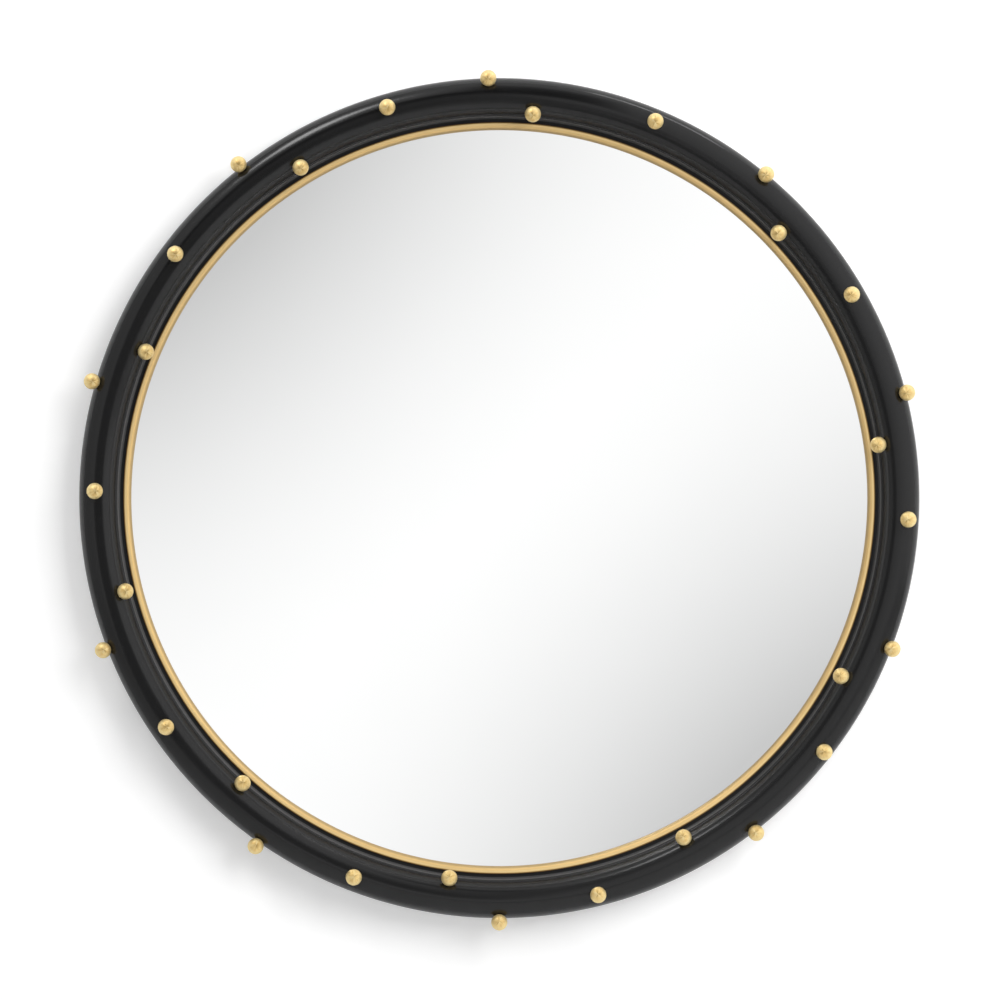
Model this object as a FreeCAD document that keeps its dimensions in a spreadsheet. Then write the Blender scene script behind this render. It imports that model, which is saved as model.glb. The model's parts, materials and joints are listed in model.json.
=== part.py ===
import FreeCAD, Part
import math
import os
import Sketcher
from FreeCAD import Vector

# A round wall mirror in millimetres. A turned half-round frame, set all over with ball studs, holds a
# gilt bead, a silvered glass and a backing board, which turn buttons keep in. It hangs from two D-rings
# and stands off the wall on four pads. The mirror faces -Y with +Z up, the wall is the plane y = 0, and
# the Y axis is its centre line.

SIZES = {
    # The frame is a ring with straight sides behind. In front it has a half round, then a smaller round that
    # tucks in beside it, and then a narrow sunk fillet, which is the front of the rebate's lip.
    "frame_diameter": 990,
    "half_round_width": 42,
    "small_round_radius": 8,
    "small_round_width": 4.5,
    "small_round_wall": 2,
    "fillet_width": 4.5,
    "lip_thickness": 2,
    "rebate_width": 8,
    "back_arris": 1.5,
    # The rebate holds the bead's flange, the glass and the board, from the front to the back. The bead is
    # a quarter round that falls to the glass, with a narrow flat beside the frame.
    "rebate_clearance": 1,
    "bead_width": 9,
    "bead_round_radius": 7,
    "bead_flange": 3,
    "bead_gap": 0.3,
    "glass_thickness": 5,
    "glass_arris": 0.6,
    "board_thickness": 6,
    "board_arris": 1,
    # Each stud is a drilled ball on a pin that is let into the half round.
    "ball_diameter": 19,
    "ball_seat_diameter": 8,
    "pin_diameter": 5,
    "pin_in_ball": 9,
    "pin_in_frame": 16,
    "pin_clearance": 0.05,
    # Turn buttons are stamped plates that pivot on one screw each and reach over the board.
    "button_count": 8,
    "button_width": 14,
    "button_tip_width": 9,
    "button_thickness": 1.6,
    "button_overlap": 12,
    "button_inset": 12,
    "button_gap": 0.1,
    "button_screw_diameter": 3.5,
    "button_screw_length": 16,
    "button_screw_head_diameter": 7.5,
    "button_screw_head_height": 2.4,
    # A hanger is a strap with a curled end, in which the bar of a wire D-ring turns.
    "hanger_bearing": 60,
    "strap_width": 16,
    "strap_thickness": 1.6,
    "ring_wire_diameter": 3.2,
    "ring_side_length": 3.6,
    "ring_bend_radius": 3,
    "ring_side_clearance": 0.4,
    "ring_bore_clearance": 0.08,
    "hanger_screw_first": 9,
    "hanger_screw_pitch": 17,
    "hanger_screw_diameter": 4,
    "hanger_screw_length": 20,
    "hanger_screw_head_diameter": 8,
    "hanger_screw_head_height": 2.6,
    "screw_clearance": 0.1,
    # Pads hold the frame off the wall, so that the hangers have room.
    "pad_count": 4,
    "pad_height": 8,
    "pad_diameter": 18,
    "pad_face_diameter": 14,
    "pad_rim_radius": 1,
    # One overrun serves all cuts.
    "cut_overrun": 2,
}

# Bearings run clockwise from the top, and leans run outwards from the front, both in degrees. The rows
# were set out by hand, so no two studs stand quite alike.
STUD_ROWS = {
    "outer": ((358.5, 39), (39.5, 37), (75.5, 42.5), (111, 42), (142.5, 45.5),
              (180, 54.5), (215, 57.5), (249, 55.5), (286, 52.5), (322, 51.5)),
    "middle": ((344, 4), (22.5, 7), (60, 5), (93, 11), (128, 18),
               (166, 9.5), (201, 3), (235.5, -1), (271, -0.5), (307, 2)),
    "inner": ((5, -47.5), (46.5, -48.5), (82, -56.5), (117.5, -48), (151.5, -45.5),
              (187.5, -54.5), (222, -53), (256, -47.5), (292.5, -57), (329, -46.5)),
}

HEAD_TOP_SHARE = 0.55
HEAD_EDGE_SHARE = 0.45
SCREW_TIP_SHARE = 0.3

# Radii from the centre line, and depths from the wall towards the front, as expressions on the sheet.
OUTER = "(Sizes.frame_diameter / 2)"
ROUND = "(Sizes.half_round_width / 2)"
ROUND_CENTRE = f"({OUTER} - {ROUND})"
ROUND_INNER = f"({OUTER} - Sizes.half_round_width)"
SMALL_INNER = f"({ROUND_INNER} - Sizes.small_round_width)"
INNER = f"({SMALL_INNER} - Sizes.fillet_width)"
REBATE = f"({INNER} + Sizes.rebate_width)"
FILLING = f"({REBATE} - Sizes.rebate_clearance)"
SIGHT = f"({INNER} - Sizes.bead_width)"
BACK_MIDDLE = f"(({REBATE} + {OUTER}) / 2)"
BUTTON_CIRCLE = f"({REBATE} + Sizes.button_inset)"
BUTTON_ARM = (
    "(Sizes.button_inset + Sizes.rebate_clearance + Sizes.button_overlap - Sizes.button_tip_width / 2)"
)
BACK = "Sizes.pad_height"
BOARD_FRONT = f"({BACK} + Sizes.board_thickness)"
GLASS_FRONT = f"({BOARD_FRONT} + Sizes.glass_thickness)"
SHOULDER = f"({GLASS_FRONT} + Sizes.bead_flange)"
FILLET = f"({SHOULDER} + Sizes.lip_thickness)"
SMALL_SPRING = f"({FILLET} + Sizes.small_round_wall)"
SMALL_RISE = "sqrt((2 * Sizes.small_round_radius - Sizes.small_round_width) * Sizes.small_round_width)"
SPRING = f"({SMALL_SPRING} + {SMALL_RISE})"

# The hanger is drawn about the axis of its ring's bar, which stands this high over the back of the frame.
BORE = "(Sizes.ring_wire_diameter / 2 + Sizes.ring_bore_clearance)"
KNUCKLE = f"({BORE} + Sizes.strap_thickness)"
HANGER_SIDE = f"({BACK_MIDDLE} * sin(Sizes.hanger_bearing))"
HANGER_HEIGHT = f"({BACK_MIDDLE} * cos(Sizes.hanger_bearing) + Sizes.strap_width / 2)"
STRAP_LENGTH = "(Sizes.hanger_screw_first + Sizes.hanger_screw_pitch)"
BAR_HALF = "(Sizes.strap_width / 2 + Sizes.ring_side_clearance)"
RING_HALF = f"({BAR_HALF} + Sizes.ring_bend_radius)"
RING_CROWN = "(Sizes.ring_bend_radius + Sizes.ring_side_length)"

doc = FreeCAD.newDocument("RoundMirror")
sheet = doc.addObject("Spreadsheet::Sheet", "Sizes")
sub_parts = []


def fill_sheet():
    """Writes each driving size to the sheet, one row each, under its own name."""
    rows = dict(SIZES)
    for row_name, studs in STUD_ROWS.items():
        for number, (bearing, lean) in enumerate(studs, start=1):
            rows[f"{row_name}_bearing_{number}"] = bearing
            rows[f"{row_name}_lean_{number}"] = lean
    for line, (name, size) in enumerate(rows.items(), start=1):
        sheet.set(f"A{line}", name)
        sheet.set(f"B{line}", str(size))
        sheet.setAlias(f"B{line}", name)
    doc.recompute()


def value(expression):
    """The number that an expression on the sheet comes to now."""
    return float(sheet.evalExpression(expression))


def new_body(label):
    body = doc.addObject("PartDesign::Body", label)
    body.Label = label
    return body


def finished(sub_part):
    """Counts an object as a piece of the mirror, which is written out under its label."""
    sub_parts.append(sub_part)
    return sub_part


def origin_feature(body, role):
    return next(feature for feature in body.Origin.OriginFeatures if feature.Role == role)


def new_sketch(body, role, name, lift="0"):
    """A sketch on one of the body's own origin planes, lifted along that plane's normal."""
    sketch = body.newObject("Sketcher::SketchObject", f"{body.Name}_{name}")
    sketch.AttachmentSupport = [(origin_feature(body, role), "")]
    sketch.MapMode = "FlatFace"
    sketch.setExpression("AttachmentOffset.Base.z", lift)
    return sketch


def constrain(sketch, expression, *terms):
    """Adds a dimension whose size follows an expression on the sheet."""
    number = sketch.addConstraint(Sketcher.Constraint(*terms, value(expression)))
    sketch.setExpression(f"Constraints[{number}]", expression)


def pin(sketch, curve, point, across, up):
    """Holds one point of a curve at a place given by two expressions."""
    for kind, axis, place in (("DistanceX", -2, across), ("DistanceY", -1, up)):
        if place == "0":
            sketch.addConstraint(Sketcher.Constraint("PointOnObject", curve, point, axis))
        else:
            constrain(sketch, place, kind, -1, 1, curve, point)


def join(sketch, kind, curve, point, next_curve, next_point):
    sketch.addConstraint(Sketcher.Constraint(kind, curve, point, next_curve, next_point))


def outline(sketch, corners, swelling=()):
    """A closed outline through corners given as pairs of expressions. The sides whose numbers are in swelling
    are arcs that swell downwards in the sketch and leave their upper end straight down, so an arc between
    level ends is a half circle. The others are straight."""
    spots = [Vector(value(across), value(up), 0) for across, up in corners]
    ends = []
    for side, start in enumerate(spots):
        stop = spots[(side + 1) % len(spots)]
        if side in swelling:
            upper, lower = (start, stop) if start.y > stop.y else (stop, start)
            chord = lower - upper
            reach = chord.Length ** 2 / (2 * chord.x)
            middle = upper + Vector(reach, 0, 0)
            turns = [math.pi + math.atan2(middle.y - end.y, middle.x - end.x) for end in (start, stop)]
            circle = Part.Circle(middle, Vector(0, 0, 1), abs(reach))
            sketch.addGeometry(Part.ArcOfCircle(circle, min(turns), max(turns)))
            ends.append((1, 2) if turns[0] < turns[1] else (2, 1))
            join(sketch, "Horizontal", side, 3, side, ends[side][0 if upper is start else 1])
        else:
            sketch.addGeometry(Part.LineSegment(start, stop))
            ends.append((1, 2))
    for side, corner in enumerate(corners):
        following = (side + 1) % len(corners)
        join(sketch, "Coincident", side, ends[side][1], following, ends[following][0])
        pin(sketch, side, ends[side][0], *corner)


def circles(sketch, radius, centres):
    """Circles of one radius about centres given as pairs of expressions."""
    for centre in centres:
        spot = Vector(value(centre[0]), value(centre[1]), 0)
        curve = sketch.addGeometry(Part.Circle(spot, Vector(0, 0, 1), value(radius)))
        constrain(sketch, radius, "Radius", curve)
        if centre == ("0", "0"):
            join(sketch, "Coincident", curve, 3, -1, 1)
        else:
            pin(sketch, curve, 3, *centre)


def revolve(body, sketch):
    """Turns a section about the upright axis of its sketch."""
    feature = body.newObject("PartDesign::Revolution", f"{body.Name}_turned")
    feature.Profile = sketch
    feature.ReferenceAxis = (sketch, ["V_Axis"])
    feature.Angle = 360
    doc.recompute()
    return feature


def pad(body, sketch, length, towards_wall=False, both_ways=False):
    feature = body.newObject("PartDesign::Pad", f"{sketch.Name}_pad")
    feature.Profile = sketch
    feature.setExpression("Length", length)
    feature.Reversed = towards_wall
    feature.Midplane = both_ways
    doc.recompute()
    return feature


def pocket(body, sketch, depth, towards_front=False, both_ways=False):
    """Cuts a sketch's outline into its body, and makes sure that the cut met the body."""
    before = body.Shape.Volume
    feature = body.newObject("PartDesign::Pocket", f"{sketch.Name}_cut")
    feature.Profile = sketch
    feature.setExpression("Length", depth)
    feature.Reversed = towards_front
    feature.Midplane = both_ways
    doc.recompute()
    if not body.Shape.Volume < before:
        raise RuntimeError(f"{feature.Name} cuts nothing")
    return feature


def round_edges(feature):
    """The full circles among the edges of a feature's shape, under their names."""
    edges = enumerate(feature.Shape.Edges, start=1)
    return {f"Edge{n}": edge for n, edge in edges if edge.Closed and isinstance(edge.Curve, Part.Circle)}


def break_edges(body, kind, base, size_name, size, edges):
    """Finishes edges with a PartDesign Chamfer or Fillet of one size."""
    feature = body.newObject(f"PartDesign::{kind}", f"{body.Name}_{kind.lower()}")
    feature.Base = (base, edges)
    feature.setExpression(size_name, size)
    doc.recompute()
    return feature


def around(bearing, radius, depth):
    """Places a piece on the back of the frame, turned to its bearing."""
    return (
        f"placement(vector({radius} * sin({bearing}); -({depth}); {radius} * cos({bearing}));"
        f" rotation(0; {bearing}; 0))"
    )


def along_stud(row_name, number, reach):
    """Places a piece on a stud's axis, at a reach from the centre of the half round, facing outwards."""
    bearing = f"Sizes.{row_name}_bearing_{number}"
    lean = f"Sizes.{row_name}_lean_{number}"
    radius = f"({ROUND_CENTRE} + ({reach}) * sin({lean}))"
    depth = f"({SPRING} + ({reach}) * cos({lean}))"
    return (
        f"placement(vector({radius} * sin({bearing}); -{depth}; {radius} * cos({bearing}));"
        f" rotation(0; {bearing}; 90 - {lean}))"
    )


def frame_blank():
    """The turned ring, with its rebate and the pilot holes for the screws behind."""
    body = new_body("frame_blank")
    section = new_sketch(body, "XY_Plane", "section")
    outline(
        section,
        (
            (OUTER, f"-{BACK}"),
            (OUTER, f"-{SPRING}"),
            (ROUND_INNER, f"-{SPRING}"),
            (SMALL_INNER, f"-{SMALL_SPRING}"),
            (SMALL_INNER, f"-{FILLET}"),
            (INNER, f"-{FILLET}"),
            (INNER, f"-{SHOULDER}"),
            (REBATE, f"-{SHOULDER}"),
            (REBATE, f"-{BACK}"),
        ),
        swelling=(1, 2),
    )
    ring = revolve(body, section)
    edges = round_edges(ring)
    outer_back = max(edges, key=lambda name: edges[name].Curve.Radius + edges[name].BoundBox.YMax)
    break_edges(body, "Chamfer", ring, "Size", "Sizes.back_arris", [outer_back])

    first = "180 / Sizes.button_count"
    pilot = new_sketch(body, "XZ_Plane", "button_pilot", BACK)
    pilot_place = (f"{BUTTON_CIRCLE} * sin({first})", f"{BUTTON_CIRCLE} * cos({first})")
    circles(pilot, "Sizes.button_screw_diameter / 2 + Sizes.screw_clearance", (pilot_place,))
    cut = pocket(body, pilot, "Sizes.button_screw_length", towards_front=True)
    pattern = body.newObject("PartDesign::PolarPattern", "button_pilots")
    pattern.Originals = [cut]
    pattern.Axis = (origin_feature(body, "Y_Axis"), [""])
    pattern.Angle = 360
    pattern.setExpression("Occurrences", "Sizes.button_count")
    body.Tip = pattern
    doc.recompute()

    hanger_pilots = new_sketch(body, "XZ_Plane", "hanger_pilots", BACK)
    places = [(f"{side} * {HANGER_SIDE}", height) for side in (-1, 1) for height in hanger_screw_heights()]
    circles(hanger_pilots, "Sizes.hanger_screw_diameter / 2 + Sizes.screw_clearance", places)
    pocket(body, hanger_pilots, "Sizes.hanger_screw_length", towards_front=True)
    return body


def frame_ring(blank):
    """The ring drilled square to its surface for every stud's pin."""
    drills = []
    for row_name, studs in STUD_ROWS.items():
        for number in range(1, len(studs) + 1):
            drill = doc.addObject("Part::Cylinder", f"{row_name}_drill_{number}")
            drill.setExpression("Radius", "Sizes.pin_diameter / 2 + Sizes.pin_clearance")
            drill.setExpression("Height", "Sizes.pin_in_frame + Sizes.cut_overrun")
            drill.setExpression("Placement", along_stud(row_name, number, f"{ROUND} - Sizes.pin_in_frame"))
            drills.append(drill)
    drilling = doc.addObject("Part::Compound", "stud_drilling")
    drilling.Links = drills
    ring = doc.addObject("Part::Cut", "frame_ring")
    ring.Label = "frame_ring"
    ring.Base = blank
    ring.Tool = drilling
    return finished(ring)


def gold_bead_ring():
    """A quarter-round bead inside the frame's lip, on a flange held between the lip and the glass."""
    body = new_body("gold_bead_ring")
    section = new_sketch(body, "XY_Plane", "section")
    bead_side = f"({INNER} - Sizes.bead_gap)"
    crest = f"-({GLASS_FRONT} + Sizes.bead_round_radius)"
    outline(
        section,
        (
            (FILLING, f"-{GLASS_FRONT}"),
            (FILLING, f"-{SHOULDER}"),
            (bead_side, f"-{SHOULDER}"),
            (bead_side, crest),
            (f"{SIGHT} + Sizes.bead_round_radius", crest),
            (SIGHT, f"-{GLASS_FRONT}"),
        ),
        swelling=(4,),
    )
    revolve(body, section)
    return finished(body)


def disc(label, back, thickness, arris):
    """A round sheet that fills the rebate, with its edges eased."""
    body = new_body(label)
    sketch = new_sketch(body, "XZ_Plane", "outline", back)
    circles(sketch, FILLING, (("0", "0"),))
    sheet_pad = pad(body, sketch, thickness)
    break_edges(body, "Chamfer", sheet_pad, "Size", arris, list(round_edges(sheet_pad)))
    return finished(body)


def stud_ball(row_name, number):
    """A ball with a small flat where it meets the frame, drilled from there for its pin."""
    body = new_body(f"{row_name}_ball_{number:02d}")
    section = new_sketch(body, "XZ_Plane", "section")
    seat = "(Sizes.ball_seat_diameter / 2)"
    rise = f"sqrt((Sizes.ball_diameter / 2)^2 - {seat}^2)"
    drilled = "(Sizes.pin_diameter / 2 + Sizes.pin_clearance)"
    depth = "Sizes.pin_in_ball"
    circle = Part.Circle(Vector(0, value(rise), 0), Vector(0, 0, 1), value("Sizes.ball_diameter / 2"))
    section.addGeometry(Part.ArcOfCircle(circle, -math.atan2(value(rise), value(seat)), math.pi / 2))
    top = Vector(0, value(rise) + circle.Radius, 0)
    bottom = Vector(0, value(depth), 0)
    corner = Vector(value(drilled), value(depth), 0)
    mouth = Vector(value(drilled), 0, 0)
    seat_edge = Vector(value(seat), 0, 0)
    run = (top, bottom, corner, mouth, seat_edge)
    for start, stop in zip(run, run[1:]):
        section.addGeometry(Part.LineSegment(start, stop))
    pin(section, 0, 1, seat, "0")
    pin(section, 0, 3, "0", rise)
    section.addConstraint(Sketcher.Constraint("PointOnObject", 0, 2, -2))
    pin(section, 2, 1, "0", depth)
    pin(section, 3, 1, drilled, depth)
    pin(section, 4, 1, drilled, "0")
    join(section, "Coincident", 0, 2, 1, 1)
    for line in (1, 2, 3):
        join(section, "Coincident", line, 2, line + 1, 1)
    join(section, "Coincident", 4, 2, 0, 1)
    revolve(body, section)
    body.setExpression("Placement", along_stud(row_name, number, ROUND))
    return finished(body)


def stud_pins():
    """The pins that join the balls to the frame, one solid each."""
    pins = []
    for row_name, studs in STUD_ROWS.items():
        for number in range(1, len(studs) + 1):
            rod = doc.addObject("Part::Cylinder", f"{row_name}_pin_{number}")
            rod.setExpression("Radius", "Sizes.pin_diameter / 2")
            rod.setExpression("Height", "Sizes.pin_in_frame + Sizes.pin_in_ball")
            rod.setExpression("Placement", along_stud(row_name, number, f"{ROUND} - Sizes.pin_in_frame"))
            pins.append(rod)
    group = doc.addObject("Part::Compound", "stud_pins")
    group.Label = "stud_pins"
    group.Links = pins
    return finished(group)


def wood_screw(name, kind, place):
    """A pan-head screw, drawn with its head's underside at the origin and its point downwards."""
    body = new_body(name)
    section = new_sketch(body, "XZ_Plane", "section")
    shank = f"(Sizes.{kind}_screw_diameter / 2)"
    length = f"Sizes.{kind}_screw_length"
    head = f"(Sizes.{kind}_screw_head_diameter / 2)"
    height = f"Sizes.{kind}_screw_head_height"
    outline(
        section,
        (
            ("0", f"-{length}"),
            (shank, f"-{length} * {1 - SCREW_TIP_SHARE}"),
            (shank, "0"),
            (head, "0"),
            (head, f"{height} * {HEAD_EDGE_SHARE}"),
            (f"{head} * {HEAD_TOP_SHARE}", height),
            ("0", height),
        ),
    )
    revolve(body, section)
    body.setExpression("Placement", place)
    return body


def screw_group(label, screws):
    group = doc.addObject("Part::Compound", label)
    group.Label = label
    group.Links = screws
    return finished(group)


def button_bearing(number):
    return f"({number} + 0.5) * 360 / Sizes.button_count"


def turn_button(number):
    """A stamped pear-shaped plate, drawn about its screw with its narrow end towards the centre."""
    body = new_body(f"turn_button_{number + 1}")
    plan = new_sketch(body, "XZ_Plane", "plan")
    wide = "(Sizes.button_width / 2)"
    narrow = "(Sizes.button_tip_width / 2)"
    slope = math.asin((value(wide) - value(narrow)) / value(BUTTON_ARM))
    heel = Vector(0, 0, 0)
    tip = Vector(0, -value(BUTTON_ARM), 0)
    heel_circle = Part.Circle(heel, Vector(0, 0, 1), value(wide))
    tip_circle = Part.Circle(tip, Vector(0, 0, 1), value(narrow))
    plan.addGeometry(Part.ArcOfCircle(heel_circle, -slope, math.pi + slope))
    plan.addGeometry(Part.ArcOfCircle(tip_circle, math.pi + slope, 2 * math.pi - slope))
    left = Vector(-math.cos(slope), -math.sin(slope), 0)
    right = Vector(math.cos(slope), -math.sin(slope), 0)
    plan.addGeometry(Part.LineSegment(heel + left * value(wide), tip + left * value(narrow)))
    plan.addGeometry(Part.LineSegment(tip + right * value(narrow), heel + right * value(wide)))
    join(plan, "Coincident", 0, 3, -1, 1)
    pin(plan, 1, 3, "0", f"-{BUTTON_ARM}")
    constrain(plan, wide, "Radius", 0)
    constrain(plan, narrow, "Radius", 1)
    for curve, point, next_curve, next_point in ((0, 2, 2, 1), (2, 2, 1, 1), (1, 2, 3, 1), (3, 2, 0, 1)):
        join(plan, "Tangent", curve, point, next_curve, next_point)
    circles(plan, "Sizes.button_screw_diameter / 2 + Sizes.screw_clearance", (("0", "0"),))
    pad(body, plan, "Sizes.button_thickness", towards_wall=True)
    place = around(button_bearing(number), BUTTON_CIRCLE, f"{BACK} - Sizes.button_gap")
    body.setExpression("Placement", place)
    return finished(body)


def button_screw(number):
    bearing = button_bearing(number)
    seat = f"-({BACK} - Sizes.button_thickness - 2 * Sizes.button_gap)"
    place = (
        f"placement(vector({BUTTON_CIRCLE} * sin({bearing}); {seat}; {BUTTON_CIRCLE} * cos({bearing}));"
        " rotation(0; 0; -90))"
    )
    return wood_screw(f"button_screw_{number + 1}", "button", place)


def hanger_screw_heights():
    first = f"{HANGER_HEIGHT} - Sizes.hanger_screw_first"
    return first, f"{first} - Sizes.hanger_screw_pitch"


def hanger_place(side):
    place = f"vector({side} * {HANGER_SIDE}; -({BACK} - {KNUCKLE}); {HANGER_HEIGHT})"
    return f"placement({place}; rotation(0; 0; 0))"


def hanger_strap(label, side):
    """A strap screwed to the back of the frame, curled at its upper end round the bar of the ring."""
    body = new_body(label)
    half = "(Sizes.strap_width / 2)"
    leaf = new_sketch(body, "XZ_Plane", "leaf", KNUCKLE)
    corners = (
        (f"-{half}", "0"),
        (half, "0"),
        (half, f"-{STRAP_LENGTH}"),
        (f"-{half}", f"-{STRAP_LENGTH}"),
    )
    outline(leaf, corners, swelling=(2,))
    pad(body, leaf, "Sizes.strap_thickness", towards_wall=True)
    curl = new_sketch(body, "YZ_Plane", "curl")
    circles(curl, KNUCKLE, (("0", "0"),))
    pad(body, curl, "Sizes.strap_width", both_ways=True)
    bore = new_sketch(body, "YZ_Plane", "bore")
    circles(bore, BORE, (("0", "0"),))
    pocket(body, bore, "Sizes.strap_width + Sizes.cut_overrun", both_ways=True)
    holes = new_sketch(body, "XZ_Plane", "holes", KNUCKLE)
    places = (("0", "-Sizes.hanger_screw_first"), ("0", f"-{STRAP_LENGTH}"))
    circles(holes, "Sizes.hanger_screw_diameter / 2 + Sizes.screw_clearance", places)
    pocket(body, holes, "Sizes.strap_thickness + Sizes.cut_overrun")
    body.setExpression("Placement", hanger_place(side))
    return finished(body)


def d_ring(label, side):
    """A wire ring, straight where its bar turns in the strap and round above."""
    body = new_body(label)
    wire = new_sketch(body, "YZ_Plane", "wire")
    circles(wire, "Sizes.ring_wire_diameter / 2", (("0", "0"),))
    path = new_sketch(body, "XZ_Plane", "path")
    bend = value("Sizes.ring_bend_radius")
    half = value(RING_HALF)
    crown = value(RING_CROWN)
    flat = value(BAR_HALF)
    upwards = Vector(0, 0, 1)
    right_bend = Part.Circle(Vector(flat, bend, 0), upwards, bend)
    left_bend = Part.Circle(Vector(-flat, bend, 0), upwards, bend)
    bow = Part.Circle(Vector(0, crown, 0), upwards, half)
    path.addGeometry(Part.LineSegment(Vector(-flat, 0, 0), Vector(flat, 0, 0)))
    path.addGeometry(Part.ArcOfCircle(right_bend, -math.pi / 2, 0))
    path.addGeometry(Part.LineSegment(Vector(half, bend, 0), Vector(half, crown, 0)))
    path.addGeometry(Part.ArcOfCircle(bow, 0, math.pi))
    path.addGeometry(Part.LineSegment(Vector(-half, crown, 0), Vector(-half, bend, 0)))
    path.addGeometry(Part.ArcOfCircle(left_bend, math.pi, 3 * math.pi / 2))
    for curve in range(6):
        join(path, "Tangent", curve, 2, (curve + 1) % 6, 1)
    pin(path, 0, 1, f"-{BAR_HALF}", "0")
    pin(path, 0, 2, BAR_HALF, "0")
    constrain(path, "Sizes.ring_bend_radius", "Radius", 1)
    constrain(path, "Sizes.ring_bend_radius", "Radius", 5)
    pin(path, 3, 3, "0", RING_CROWN)
    ring = body.newObject("PartDesign::AdditivePipe", f"{body.Name}_bent")
    ring.Profile = wire
    ring.Spine = path
    body.setExpression("Placement", hanger_place(side))
    return finished(body)


def wall_pad(number):
    """A tapered rubber foot with a flat face against the wall."""
    body = new_body(f"wall_pad_{number + 1}")
    section = new_sketch(body, "XY_Plane", "section")
    corners = (
        ("0", "0"),
        ("Sizes.pad_diameter / 2", "0"),
        ("Sizes.pad_face_diameter / 2", "Sizes.pad_height"),
        ("0", "Sizes.pad_height"),
    )
    outline(section, corners)
    foot = revolve(body, section)
    edges = round_edges(foot)
    rim = max(edges, key=lambda name: edges[name].BoundBox.YMin)
    break_edges(body, "Fillet", foot, "Radius", "Sizes.pad_rim_radius", [rim])
    bearing = f"({number} + 0.5) * 360 / Sizes.pad_count"
    body.setExpression("Placement", around(bearing, BACK_MIDDLE, BACK))
    return finished(body)


def write_parts():
    """Recomputes the document, makes sure that nothing failed, and writes each piece to its own file."""
    doc.recompute()
    for item in doc.Objects:
        if "Invalid" in item.State or "Error" in item.State:
            raise RuntimeError(f"{item.Label} failed: {item.State}")
    for sub_part in sub_parts:
        if sub_part.Shape.isNull() or not sub_part.Shape.isValid():
            raise RuntimeError(f"{sub_part.Label} has no sound shape")
    os.makedirs("parts", exist_ok=True)
    for sub_part in sub_parts:
        sub_part.Shape.exportStep(f"parts/{sub_part.Label}.step")
        print(sub_part.Label, len(sub_part.Shape.Solids), round(sub_part.Shape.Volume))


fill_sheet()
frame_ring(frame_blank())
gold_bead_ring()
disc("mirror_glass", BOARD_FRONT, "Sizes.glass_thickness", "Sizes.glass_arris")
disc("backing_board", BACK, "Sizes.board_thickness", "Sizes.board_arris")
for stud_row in STUD_ROWS:
    for stud in range(1, len(STUD_ROWS[stud_row]) + 1):
        stud_ball(stud_row, stud)
stud_pins()
for button in range(SIZES["button_count"]):
    turn_button(button)
screw_group("turn_button_screws", [button_screw(button) for button in range(SIZES["button_count"])])
for hand, hand_side in (("left", -1), ("right", 1)):
    hanger_strap(f"hanger_strap_{hand}", hand_side)
    d_ring(f"d_ring_{hand}", hand_side)
under_hanger_heads = f"-({BACK} - Sizes.strap_thickness)"
hanger_screw_places = [
    f"placement(vector({side} * {HANGER_SIDE}; {under_hanger_heads}; {height}); rotation(0; 0; -90))"
    for side in (-1, 1)
    for height in hanger_screw_heights()
]
hanger_screws = [
    wood_screw(f"hanger_screw_{number}", "hanger", place)
    for number, place in enumerate(hanger_screw_places, start=1)
]
screw_group("hanger_screws", hanger_screws)
for foot_number in range(SIZES["pad_count"]):
    wall_pad(foot_number)
write_parts()
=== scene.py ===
# %% [markdown]
# # A round studded mirror, dressed for the camera
#
# The solids of this mirror come from CAD, and this lesson gives them their looks. We load them as a
# fixed frame, put finer pieces in the places of some, finish every surface with procedural materials,
# and light the whole like a studio picture. Everything is in metres, the wall is the plane y = 0, the
# mirror looks towards -Y, and +Z is up.

import json
import math
import bmesh
import bpy
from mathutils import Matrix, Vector


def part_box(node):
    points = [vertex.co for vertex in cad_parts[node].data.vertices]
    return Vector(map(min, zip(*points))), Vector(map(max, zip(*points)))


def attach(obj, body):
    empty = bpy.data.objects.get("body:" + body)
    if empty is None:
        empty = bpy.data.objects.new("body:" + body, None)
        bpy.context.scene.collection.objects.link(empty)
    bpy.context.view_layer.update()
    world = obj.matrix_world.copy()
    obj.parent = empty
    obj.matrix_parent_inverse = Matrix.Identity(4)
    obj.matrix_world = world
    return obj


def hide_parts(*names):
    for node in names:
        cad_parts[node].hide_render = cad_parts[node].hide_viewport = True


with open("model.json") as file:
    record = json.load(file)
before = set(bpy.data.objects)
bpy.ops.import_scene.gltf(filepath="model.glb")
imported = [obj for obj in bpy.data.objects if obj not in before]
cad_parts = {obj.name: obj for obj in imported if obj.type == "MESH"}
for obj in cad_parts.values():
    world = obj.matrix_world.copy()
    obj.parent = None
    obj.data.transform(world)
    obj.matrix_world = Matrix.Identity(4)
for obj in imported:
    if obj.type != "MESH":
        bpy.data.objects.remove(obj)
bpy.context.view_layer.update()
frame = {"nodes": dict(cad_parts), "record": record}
scene = bpy.context.scene
scene.view_settings.view_transform = "Standard"

# %% [markdown]
# ## Writing node trees as sums
#
# A finish is easier to read as a formula than as a web of nodes. We could link every Math node by hand,
# but a dozen of them hide the thought behind them. So we wrap one socket in a small class, on which
# Python's own signs add the Math nodes, and keep one method that adds any other node. Colours never go
# through a Math node, because it would turn them grey, so they have a mixing call of their own.

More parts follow.
